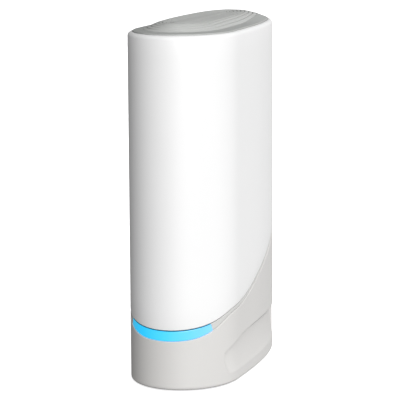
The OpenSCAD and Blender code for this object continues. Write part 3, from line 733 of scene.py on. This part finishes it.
# ---------------------------------------------------------------- top vent
VENT_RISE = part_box("top_grille")[1].z - RIM_Z
SKIRT_IN = WALL + 0.35 * MM
BORDER_W = 5.85 * MM
BORDER_EDGE = 0.7 * MM
BORDER_RISE = 1.4 * MM
GRILLE_IN = SKIRT_IN + BORDER_W + 0.3 * MM
GRILLE_T = 1.8 * MM
CROWN_LEN = 13 * MM
FULL_LEN = 9 * MM
REAR_LIFT = 1.9 * MM
RING_PITCH = 2.3 * MM
RING_W = 1.85 * MM
EDGE_LIP = 0.45 * MM
NOSE_DRAW = 0.8
TAIL_DRAW = 1.4


def vent_plan(phi, inset):
    """The outline drawn in by inset at its sides, and past the skirt by other shares at its nose and tail."""
    reach, power = reach_and_power(phi)
    share = np.where(np.sin(phi) < 0, NOSE_DRAW, TAIL_DRAW)
    reach = reach - np.minimum(inset, SKIRT_IN) - share * np.maximum(0, inset - SKIRT_IN)
    x, y = unit_point(phi, power)
    return (HALF_W - inset) * x, WIDE_Y + reach * y


def crown(inset, turn=-1.0):
    """Height over the rim: a slope up the border, then a quarter sine to the top.

    turn is the sine of the outline's angle. Toward the rear the slope ends higher and the sine is shorter.
    """
    out = np.clip((inset - SKIRT_IN) / BORDER_W, 0, 1)
    edge_rise = BORDER_RISE - BORDER_EDGE + REAR_LIFT * smooth((turn - 0.3) / 0.45)
    length = CROWN_LEN + (FULL_LEN - CROWN_LEN) * smooth(0.5 + turn / 0.6)
    t = np.clip((inset - GRILLE_IN) / length, 0, 1)
    return BORDER_EDGE + edge_rise * out + (VENT_RISE - BORDER_EDGE - edge_rise) * np.sin(t * np.pi / 2)


def lens_ring(name, section, finish, count=360):
    """A section of (inset, height over the rim at the nose) round the outline. Its top follows the crown."""
    phi = phi_at(np.linspace(-HALF_ROUND, HALF_ROUND, count, endpoint=False))[:, None]
    inset, z = np.array(section, float).T
    low = BORDER_RISE - GRILLE_T
    share = np.clip((z - low) / (crown(inset) - low), 0, 1)
    x, y = vent_plan(phi, inset)
    points = np.stack([x, y, RIM_Z + z + share * (crown(inset, np.sin(phi)) - crown(inset))], -1)
    return place(loft(name, points, finish, True))


def rounded(points, radius, count=5):
    """A closed polygon with every corner rounded by a parabola that starts this far from it."""
    points = [np.array(p, float) for p in points]
    made = []
    for i, here in enumerate(points):
        before, after = points[i - 1], points[(i + 1) % len(points)]
        a, b = before - here, after - here
        reach = min(radius, 0.45 * np.linalg.norm(a), 0.45 * np.linalg.norm(b))
        start = here + a / np.linalg.norm(a) * reach
        end = here + b / np.linalg.norm(b) * reach
        for t in np.linspace(0, 1, count):
            made.append(start * (1 - t) ** 2 + here * 2 * t * (1 - t) + end * t**2)
    return made


def top_bezel():
    """The plain border: a slope and a step down to the grille's seat, with a darker lip round its edge.
    Border and lip are painted darker than the grille's grey as painted shade: the lip for the dark groove
    line round the vent, and the border for its dark left tip and near side.
    """
    seat = BORDER_RISE - GRILLE_T
    seat_in = GRILLE_IN + 1.6 * MM
    skirt_back = SKIRT_IN + 1.8 * MM
    skirt_low = -6 * MM
    start = SKIRT_IN + EDGE_LIP
    slope = [(inset, float(crown(inset))) for inset in np.linspace(start, SKIRT_IN + BORDER_W, 8)]
    section = rounded([(start, skirt_low), *slope, (GRILLE_IN, BORDER_RISE), (GRILLE_IN, seat),
                       (seat_in, seat), (seat_in, seat - 1.4 * MM),
                       (skirt_back, -2.5 * MM), (skirt_back, skirt_low)], 0.2 * MM)
    piece = lens_ring("vent_border", section, bezel_border_shaded_grey, 480)
    lip_back, lip_low = start + 0.05 * MM, -2 * MM
    lip = rounded([(SKIRT_IN, lip_low), (SKIRT_IN, BORDER_EDGE), (lip_back, BORDER_EDGE + 0.1 * MM),
                   (lip_back, lip_low)], 0.15 * MM)
    edge = lens_ring("vent_border_lip", lip, bezel_lip_shaded_grey, 480)
    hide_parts("top_bezel")


def top_grille():
    """Nested lens-shaped rings whose tops follow the crown, on ribs around a closed centre."""
    first = GRILLE_IN + 0.1 * MM
    count = int((HALF_W - first - RING_W) // RING_PITCH)
    low = BORDER_RISE - GRILLE_T
    for i in range(count):
        outer = first + i * RING_PITCH
        across = outer + RING_W * np.linspace(0, 1, 4)
        top = [(inset, float(crown(inset))) for inset in across]
        section = rounded([(outer, low), *top, (outer + RING_W, low)], 0.12 * MM)
        lens_ring(f"vent_ring_{i + 1}", section, vent_grey, 480)
    centre = first + count * RING_PITCH
    core = HALF_W * 0.999
    disc = [(centre, low), (centre, VENT_RISE - 0.25 * MM), (centre + 0.3 * MM, VENT_RISE),
            (core, VENT_RISE), (core, low)]
    rib_low, rib_high = RIM_Z + low, RIM_Z + low + 0.9 * MM
    lens_ring("vent_centre", disc, vent_grey)
    for k in range(-1, 4):
        y = WIDE_Y + 20 * MM * k
        half = float(np.interp(abs(y - WIDE_Y), *half_table(y > WIDE_Y, first)))
        place(rounded_box(f"vent_rib_{k + 2}", (-half, y - MM, rib_low),
                                        (half, y + MM, rib_high), 0.2 * MM, vent_grey))
    front, back = (float(vent_plan(a, first)[1]) for a in (-np.pi / 2, np.pi / 2))
    place(rounded_box("vent_rib_6", (-MM, front, rib_low), (MM, back, rib_high),
                                    0.2 * MM, vent_grey))
    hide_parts("top_grille")


def half_table(behind, inset):
    """Distances from the widest section, and the half width of the drawn-in outline at each."""
    phi = np.linspace(0, np.pi / 2, 400) * (1 if behind else -1)
    x, y = vent_plan(phi, inset)
    return np.abs(y - WIDE_Y), x


# ---------------------------------------------------------------- small shapes
def ease(piece, width, angle):
    """Rounds every edge of a piece that turns by more than angle degrees."""
    bevel = piece.modifiers.new("eased_edges", "BEVEL")
    bevel.width = width
    bevel.segments = 3
    bevel.limit_method = "ANGLE"
    bevel.angle_limit = math.radians(angle)
    bevel.harden_normals = False


def eased(node, name, width, finish):
    """A copy of a CAD node's mesh, merged at its seams, with its edges rounded by width."""
    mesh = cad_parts[node].data.copy()
    work = bmesh.new()
    work.from_mesh(mesh)
    bmesh.ops.remove_doubles(work, verts=work.verts, dist=1e-6)
    bmesh.ops.dissolve_limit(work, angle_limit=math.radians(1), verts=work.verts, edges=work.edges)
    bmesh.ops.recalc_face_normals(work, faces=work.faces)
    work.to_mesh(mesh)
    work.free()
    mesh.name = name
    mesh.materials.clear()
    mesh.materials.append(finish)
    mesh.polygons.foreach_set("use_smooth", [True] * len(mesh.polygons))
    mesh.set_sharp_from_angle(angle=math.radians(SHARP))
    piece = bpy.data.objects.new(name, mesh)
    bpy.context.scene.collection.objects.link(piece)
    place(piece)
    ease(piece, width, SHARP)
    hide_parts(node)


def rounded_box(name, low, high, radius, finish):
    """A box with round edges: a sphere's grid with its eight octants pulled apart to the box's corners."""
    low, high = np.array(low, float), np.array(high, float)
    quarter = np.linspace(0, np.pi / 2, CORNER_STEPS + 1)
    across = np.concatenate([quarter + k * np.pi / 2 for k in range(4)])
    upward = np.concatenate([quarter - np.pi / 2, quarter])
    phi, theta = across[:, None], upward[None, :]
    sides = np.repeat([[1, 1], [-1, 1], [-1, -1], [1, -1]], CORNER_STEPS + 1, axis=0)
    ends = np.repeat([-1, 1], CORNER_STEPS + 1)
    middle, half = (low + high) / 2, (high - low) / 2 - radius
    x = middle[0] + sides[:, :1] * half[0] + radius * np.cos(phi) * np.cos(theta)
    y = middle[1] + sides[:, 1:] * half[1] + radius * np.sin(phi) * np.cos(theta)
    z = middle[2] + ends[None, :] * half[2] + radius * np.sin(theta) + 0 * phi
    points = np.stack([x, y, z], -1)
    faces = grid_faces(len(across), len(upward), True, False)
    columns = len(upward)
    faces.append([i * columns for i in range(len(across))])
    faces.append([i * columns + columns - 1 for i in range(len(across))][::-1])
    return add_mesh(name, points.reshape(-1, 3), faces, finish, 50)


AXES = {"x": (1, 2, 0), "y": (2, 0, 1), "z": (0, 1, 2)}


def turned(name, centre, axis, rows, finish, around=64, dent=None, body=BODY):
    """A profile of (radius, height) rows turned round an axis through centre, closed where radius is 0.

    dent(u, v, w) adds to the height w, and u and v are measured across the axis.
    """
    radius, height = np.array(rows, float).T
    turn = np.linspace(0, 2 * np.pi, around, endpoint=False)[:, None]
    u, v = radius * np.cos(turn), radius * np.sin(turn)
    w = height + 0 * turn
    if dent:
        w = w + dent(u, v, w)
    points = np.empty(u.shape + (3,))
    a, b, c = AXES[axis]
    for index, value in ((a, u), (b, v), (c, w)):
        points[..., index] = value + centre[index]
    closed = radius[0] > 0 and radius[-1] > 0
    faces = grid_faces(around, len(radius), True, closed)
    return place(add_mesh(name, points.reshape(-1, 3), faces, finish), body)


def swept(name, path, section, finish):
    """A section of (side, up) offsets carried along a path in a plane of constant z, with closed ends."""
    path, section = np.array(path, float), np.array(section, float)
    along = np.gradient(path, axis=0)
    along /= np.linalg.norm(along, axis=1, keepdims=True)
    side = np.stack([-along[:, 1], along[:, 0], 0 * along[:, 0]], -1)
    points = path[:, None, :] + side[:, None, :] * section[None, :, :1]
    points[..., 2] += section[None, :, 1]
    return loft(name, points, finish)


BEVEL_STEPS = 4


def bevelled(rows, size):
    """Turned rows, with every corner of the profile cut by a small rounded bevel of BEVEL_STEPS points."""
    return rounded(rows, size, BEVEL_STEPS)


# ---------------------------------------------------------------- underside
def rubber_feet():
    """Four soft feet: domed edges, and a flat tread with a dimple in its middle and a groove round it."""
    low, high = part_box("rubber_feet")
    r = 5 * MM
    rows = [(0, 0.12), (1.2, 0.12), (1.4, 0), (2.5, 0), (2.7, 0.12), (3.2, 0.12), (3.4, 0), (4.45, 0)]
    rows = [(a * MM, b * MM) for a, b in rows]
    rows += [(r - 0.5 * MM * (1 - math.sin(t)), 0.5 * MM * (1 - math.cos(t)))
             for t in np.linspace(0.2, np.pi / 2, 6)]
    rows += [(r, high.z - 0.1 * MM), (r - 0.1 * MM, high.z), (0, high.z)]
    spots = [(low.x + r, low.y + r), (-low.x - r, low.y + r),
             (-14 * MM, high.y - r), (14 * MM, high.y - r)]
    for i, (x, y) in enumerate(spots):
        piece = turned(f"rubber_foot_{i + 1}", (x, y, 0), "z", rows, foot_rubber)
        if i == 0:
            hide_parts("rubber_feet")


def cross_recess(width, reach, depth):
    """A cross-shaped hollow with sloping sides, as a function of the place (u, v) on a screw's head."""
    def hollow(u, v):
        """How deep the hollow is here: full depth within both arms, running out at their edges."""
        arm = np.minimum(np.maximum(np.abs(u) / reach, np.abs(v) / width),
                         np.maximum(np.abs(v) / reach, np.abs(u) / width))
        return depth * np.clip((1.15 - arm) / 0.3, 0, 1)
    return hollow


def base_screws():
    """Four pan-head screws under the base, each with a cross recess and a ridged shank inside its boss."""
    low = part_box("base_screws")[0].z
    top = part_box("base_screws")[1].z
    head_r, head_t, shank_r = 2.8 * MM, 1.8 * MM, 1.45 * MM
    ridge_pitch, ridge_depth = 1.1 * MM, 0.28 * MM
    spots = [(0, WIDE_Y + 8 * MM), (0, WIDE_Y + 52 * MM), (-21.5 * MM, WIDE_Y - 1.5 * MM),
             (21.5 * MM, WIDE_Y - 1.5 * MM)]
    radii = np.concatenate([np.linspace(0, 1.9, 20), np.linspace(2.0, 2.8, 9)]) * MM
    face = [(r, 0.35 * MM * (r / head_r) ** 3.2) for r in radii]
    hollow = cross_recess(0.42 * MM, 1.7 * MM, 1.15 * MM)

    def dent(u, v, w):
        """The recess, on the head's face only."""
        return hollow(u, v) * (w < 0.36 * MM) * (np.hypot(u, v) < 2.2 * MM)

    rows = face + [(head_r, head_t - 0.1 * MM), (head_r - 0.1 * MM, head_t), (shank_r, head_t)]
    turns = np.linspace(head_t + 0.3 * MM, top - low - 0.6 * MM, 60)
    rows += [(shank_r - ridge_depth * abs(((z / ridge_pitch) % 1) * 2 - 1) ** 0.7, z) for z in turns]
    rows += [(0.5 * MM, top - low - 0.1 * MM), (0, top - low)]
    for i, (x, y) in enumerate(spots):
        piece = turned(f"base_screw_{i + 1}", (x, y, low), "z", rows, zinc_steel, 72, dent)
        if i == 0:
            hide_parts("base_screws")


# ---------------------------------------------------------------- connectors
COAX_Z = UNDER_Z + 45 * MM
THREAD_PITCH = 25.4 / 32 * MM
coax_low, coax_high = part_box("coax_body")
BARREL_R = 4.76 * MM
RELIEF_R = BARREL_R - 0.16 * MM
BORE_R = 3.6 * MM
HOLE_R = BARREL_R - 0.06 * MM
NUT_FACE_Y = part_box("coax_nut")[1].y


def coax_barrel():
    """The threaded barrel: a screw thread of 32 turns an inch, chamfered at its mouth, and its bore."""
    turn = np.linspace(0, 2 * np.pi, 96, endpoint=False)[:, None]
    y = np.linspace(NUT_FACE_Y, coax_high.y - 0.05 * MM, 190)[None, :]
    wave = np.abs(((y - NUT_FACE_Y) / THREAD_PITCH - turn / (2 * np.pi)) % 1 * 2 - 1)
    crest = np.clip((wave - 0.12) / 0.76, 0, 1)
    r = BARREL_R - 0.48 * MM * (1 - crest)
    r = np.minimum(r, BARREL_R - np.clip(y - (coax_high.y - 0.7 * MM), 0, None))
    r = np.minimum(r, RELIEF_R + np.clip(y - NUT_FACE_Y - 0.2 * MM, 0, None) * 2)
    back = coax_low.y + MM
    before = np.array([(BORE_R, back), (RELIEF_R, back), (RELIEF_R, NUT_FACE_Y)])
    after = np.array([(BORE_R + 0.25 * MM, coax_high.y), (BORE_R, coax_high.y - 0.25 * MM)])
    ones = np.ones_like(turn)
    r = np.hstack([before[:, 0] * ones, r, after[:, 0] * ones])
    y = np.hstack([before[:, 1] * ones, y * ones, after[:, 1] * ones])
    points = np.stack([r * np.cos(turn), y, COAX_Z + r * np.sin(turn)], -1)
    faces = grid_faces(*points.shape[:2], True, True)
    piece = place(add_mesh("coax_barrel", points.reshape(-1, 3), faces, nickel, 40))
    block = place(rounded_box("coax_block", (coax_low.x, coax_low.y, COAX_Z - 6.5 * MM),
                              (6.5 * MM, coax_low.y + 12 * MM, COAX_Z + 6.5 * MM), 0.5 * MM, nickel))
    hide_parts("coax_body")


def hex_nut():
    """The hexagon nut: flat sides, corners cut by a cone on its outer face, and a countersunk hole."""
    low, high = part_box("coax_nut")
    corner_r = 6.4 * MM
    turn = np.linspace(0, 2 * np.pi, 144, endpoint=False)[:, None]
    flat = corner_r * math.cos(np.pi / 6) / np.cos((turn + np.pi / 6) % (np.pi / 3) - np.pi / 6)
    cone = corner_r - np.array([[0.0, 0.0, 0.25, 0.75]]) * MM
    y = np.array([[low.y, high.y - 0.45 * MM, high.y - 0.3 * MM, high.y]])
    hole = np.array([[HOLE_R + 0.3 * MM, HOLE_R, HOLE_R]])
    hole_y = np.array([[high.y, high.y - 0.3 * MM, low.y]])
    ones = np.ones_like(turn)
    r = np.hstack([np.minimum(flat, cone) * np.ones_like(y), hole * ones])
    y = np.hstack([y * ones, hole_y * ones])
    points = np.stack([r * np.cos(turn), y, COAX_Z + r * np.sin(turn)], -1)
    faces = grid_faces(*points.shape[:2], True, True)
    piece = place(add_mesh("coax_hex_nut", points.reshape(-1, 3), faces, nickel, 25))
    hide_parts("coax_nut")


def coax_small_parts():
    """The washer, the white insulator and the gold socket in its middle."""
    at = (0, 0, COAX_Z)
    low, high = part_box("coax_washer")
    rows = [(HOLE_R, low.y), (high.x, low.y), (high.x, high.y), (HOLE_R, high.y)]
    washer = turned("coax_washer_ring", at, "y", bevelled(rows, 0.15 * MM), nickel, 96)
    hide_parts("coax_washer")
    low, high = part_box("coax_insulator")
    seat, plug_r, step_y = 1.25 * MM, BORE_R - 0.05 * MM, high.y - 0.4 * MM
    rows = [(seat, low.y), (plug_r, low.y), (plug_r, step_y), (BORE_R - 0.5 * MM, step_y),
            (2.2 * MM, high.y), (seat, high.y)]
    plug = turned("coax_insulator_plug", at, "y", bevelled(rows, 0.15 * MM), nylon, 72)
    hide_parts("coax_insulator")
    low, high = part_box("coax_contact")
    socket_r, bore, bore_end = 1.2 * MM, 0.5 * MM, high.y - 8 * MM
    rows = [(0, low.y), (socket_r, low.y), (socket_r, high.y), (bore, high.y),
            (bore, bore_end), (0, bore_end)]
    # The first and the last corner lie on the axis, so their bevels are left off.
    rows = bevelled(rows, 0.12 * MM)[BEVEL_STEPS:-BEVEL_STEPS]
    socket = turned("coax_contact_socket", at, "y", rows, gold, 48)
    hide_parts("coax_contact")


def jack_contacts():
    """Sixteen sprung wires: each bends over the mouth of its slot, then runs in along a slant."""
    low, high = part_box("jack_contacts")
    depth = high.y - low.y
    wire_pitch = 1.02 * MM
    t = np.linspace(0, 1, 22)
    x = high.x - 0.16 * MM - 1.15 * MM * t**1.25 - 0.5 * MM * np.clip(1 - t / 0.08, 0, 1) ** 2
    y = high.y - 0.15 * MM - (depth - 0.3 * MM) * t
    turn = np.linspace(0, 2 * np.pi, 12, endpoint=False)
    section = np.stack([0.14 * MM * np.cos(turn), 0.215 * MM * np.sin(turn)], -1)
    for row, up in enumerate((73, 99)):
        for i in range(8):
            z = UNDER_Z + up * MM + (i - 3.5) * wire_pitch
            path = np.stack([x, y, np.full_like(x, z)], -1)
            piece = place(swept(f"jack_{row + 1}_wire_{i + 1}", path, section, gold))
            if row == 0 and i == 0:
                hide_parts("jack_contacts")


def dome(radius, top, height):
    """Turned rows of a domed end, a quarter ellipse of this radius and height that closes at top."""
    quarter = np.linspace(0, np.pi / 2, 9)
    return [(radius * math.cos(a), top - height + height * math.sin(a)) for a in quarter]


def power_pin():
    """The inlet's centre pin, with a rounded tip."""
    low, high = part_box("power_pin")
    r = 1.05 * MM
    tip = dome(r, high.y, r * 0.8)
    at = (0, 0, UNDER_Z + 22 * MM)
    piece = turned("power_inlet_pin", at, "y", [(0, low.y), (r, low.y), *tip], nickel, 40)
    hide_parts("power_pin")


def reset_plunger():
    """The reset plunger, with a domed tip behind its pinhole and a stop flange inside the switch."""
    low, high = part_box("reset_plunger")
    middle = ((low.x + high.x) / 2, 0, (low.z + high.z) / 2)
    r, flange_r = 1.6 * MM, (high.x - low.x) / 2
    flange_y = low.y + 0.8 * MM
    rows = [(0, low.y), (flange_r, low.y), (flange_r, flange_y), (r, flange_y), *dome(r, high.y, 0.5 * MM)]
    piece = turned("reset_plunger_tip", middle, "y", rows, nylon, 48, body="reset_button")
    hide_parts("reset_plunger")


# ---------------------------------------------------------------- the whole modem
front_cover()
trim_band()
light_bar()
base_shell()
rear_cover()
top_bezel()
top_grille()
rubber_feet()
base_screws()
coax_barrel()
hex_nut()
coax_small_parts()
jack_contacts()
power_pin()
reset_plunger()

EASED = {
    "bottom_plate": (0.4, plate_grey, "dark_plastic"),
    "connector_panel": (0.25, panel_grey, "panel_plastic"),
    "rating_label": (0.06, label, "label_film"),
    "upper_jack_case": (0.12, tin_steel, "tin_steel"),
    "lower_jack_case": (0.12, tin_steel, "tin_steel"),
    "upper_jack_insert": (0.15, jack_black, "jack_plastic"),
    "lower_jack_insert": (0.15, jack_black, "jack_plastic"),
    "jack_leds": (0.15, amber_green, "lens_plastic"),
    "power_jack": (0.3, jack_black, "jack_plastic"),
    "reset_switch": (0.25, jack_black, "jack_plastic"),
    "inner_frame": (0.3, frame_black, "frame_plastic"),
    "main_board": (0.08, laminate, "board_laminate"),
    "board_screws": (0.2, zinc_steel, "zinc_steel"),
    "modem_chip": (0.1, epoxy, "chip_epoxy"),
    "memory_chips": (0.08, epoxy, "chip_epoxy"),
    "flash_chip": (0.08, epoxy, "chip_epoxy"),
    "network_chip": (0.06, epoxy, "chip_epoxy"),
    "tuner_chip": (0.06, epoxy, "chip_epoxy"),
    "line_magnetics": (0.25, epoxy, "chip_epoxy"),
    "thermal_pad": (0.08, pad_pink, "pad_silicone"),
    "heatsink": (0.15, aluminium, "heatsink_aluminium"),
    "heatsink_pins": (0.2, nylon, "natural_nylon"),
    "shield_frame": (0.06, tin_steel, "tin_steel"),
    "shield_lid": (0.08, tin_steel, "tin_steel"),
    "crystal": (0.15, tin_steel, "tin_steel"),
    "power_inductors": (0.5, ferrite, "ferrite"),
    "capacitors": (0.4, sleeve, "sleeve_plastic"),
    "status_leds": (0.12, nylon, "lens_plastic"),
    "light_guide": (0.2, acrylic, "clear_acrylic"),
}
for node, (width, finish, slot) in EASED.items():
    eased(node, f"{node}_body", width * MM, finish)


# ---------------------------------------------------------------- floor, light and camera
def floor():
    """A pale round floor, a large flat disc just under the feet."""
    radius, z, count = 6.0, -0.2 * MM, 96
    turn = np.linspace(0, 2 * np.pi, count, endpoint=False)
    rim = np.stack([radius * np.cos(turn), radius * np.sin(turn), np.full_like(turn, z)], -1)
    points = np.vstack([[[0, 0, z]], rim])
    faces = [[0, i + 1, (i + 1) % count + 1] for i in range(count)]
    f = Finish("studio_floor", roughness=0.9)
    f.feed("Base Color", f.mix(f.noise(0.4), (0.9, 0.9, 0.9), (0.94, 0.94, 0.94)))
    f.feed("Emission Color", (1.0, 1.0, 1.0))
    f.feed("Emission Strength", 0.75)
    disc = add_mesh("studio_floor", points, faces, f.material)
    disc.visible_diffuse = False
    disc.visible_glossy = False


def lamp(name, azimuth, elevation, strength, spread):
    """A soft distant light from this direction, azimuth 0 in front of the nose and positive to the right."""
    data = bpy.data.lights.new(name, "SUN")
    data.energy = strength
    data.angle = math.radians(spread)
    lamp_object = bpy.data.objects.new(name, data)
    a, e = math.radians(azimuth), math.radians(elevation)
    back = Vector((math.sin(a) * math.cos(e), -math.cos(a) * math.cos(e), math.sin(e)))
    lamp_object.rotation_euler = (-back).to_track_quat("-Z", "Y").to_euler()
    bpy.context.scene.collection.objects.link(lamp_object)


def sky(light, seen):
    """An even dim sky for light, and a white one behind the object."""
    world = bpy.data.worlds.new("studio_sky")
    world.use_nodes = True
    nodes, links = world.node_tree.nodes, world.node_tree.links
    nodes.clear()
    path = nodes.new("ShaderNodeLightPath")
    mix = nodes.new("ShaderNodeMixShader")
    out = nodes.new("ShaderNodeOutputWorld")
    for slot, strength in ((1, light), (2, seen)):
        background = nodes.new("ShaderNodeBackground")
        background.inputs["Strength"].default_value = strength
        background.inputs["Color"].default_value = (1, 1, 1, 1)
        links.new(background.outputs[0], mix.inputs[slot])
    links.new(path.outputs["Is Camera Ray"], mix.inputs[0])
    links.new(mix.outputs[0], out.inputs["Surface"])
    bpy.context.scene.world = world


def camera():
    """A long lens in front of the nose and to its right, looking a little down from above the top."""
    azimuth, elevation, roll = math.radians(20.679), math.radians(9.893), math.radians(-0.402)
    distance = 1.23536
    data = bpy.data.cameras.new("camera")
    data.sensor_width = 36
    data.lens = 194.6
    back = Vector((math.sin(azimuth) * math.cos(elevation), -math.cos(azimuth) * math.cos(elevation),
                   math.sin(elevation)))
    level = Vector((math.cos(azimuth), math.sin(azimuth), 0))
    rise = back.cross(level)
    right = level * math.cos(roll) + rise * math.sin(roll)
    up = back.cross(right)
    data.shift_x = 0.034465
    data.shift_y = 0.012533
    eye = bpy.data.objects.new("camera", data)
    turn = Matrix((right, up, back)).transposed()
    aim = Vector((0, WIDE_Y, UNDER_Z + 100 * MM))
    eye.matrix_world = Matrix.Translation(aim + back * distance) @ turn.to_4x4()
    bpy.context.scene.collection.objects.link(eye)
    bpy.context.scene.camera = eye


floor()
sky(0.215, 1.0)
lamp("key_light", 30, 20, 0.955 * math.pi, 50)
lamp("side_light", 135, 18, 0.5 * math.pi, 120)
camera()
bpy.context.scene.view_settings.view_transform = "Standard"
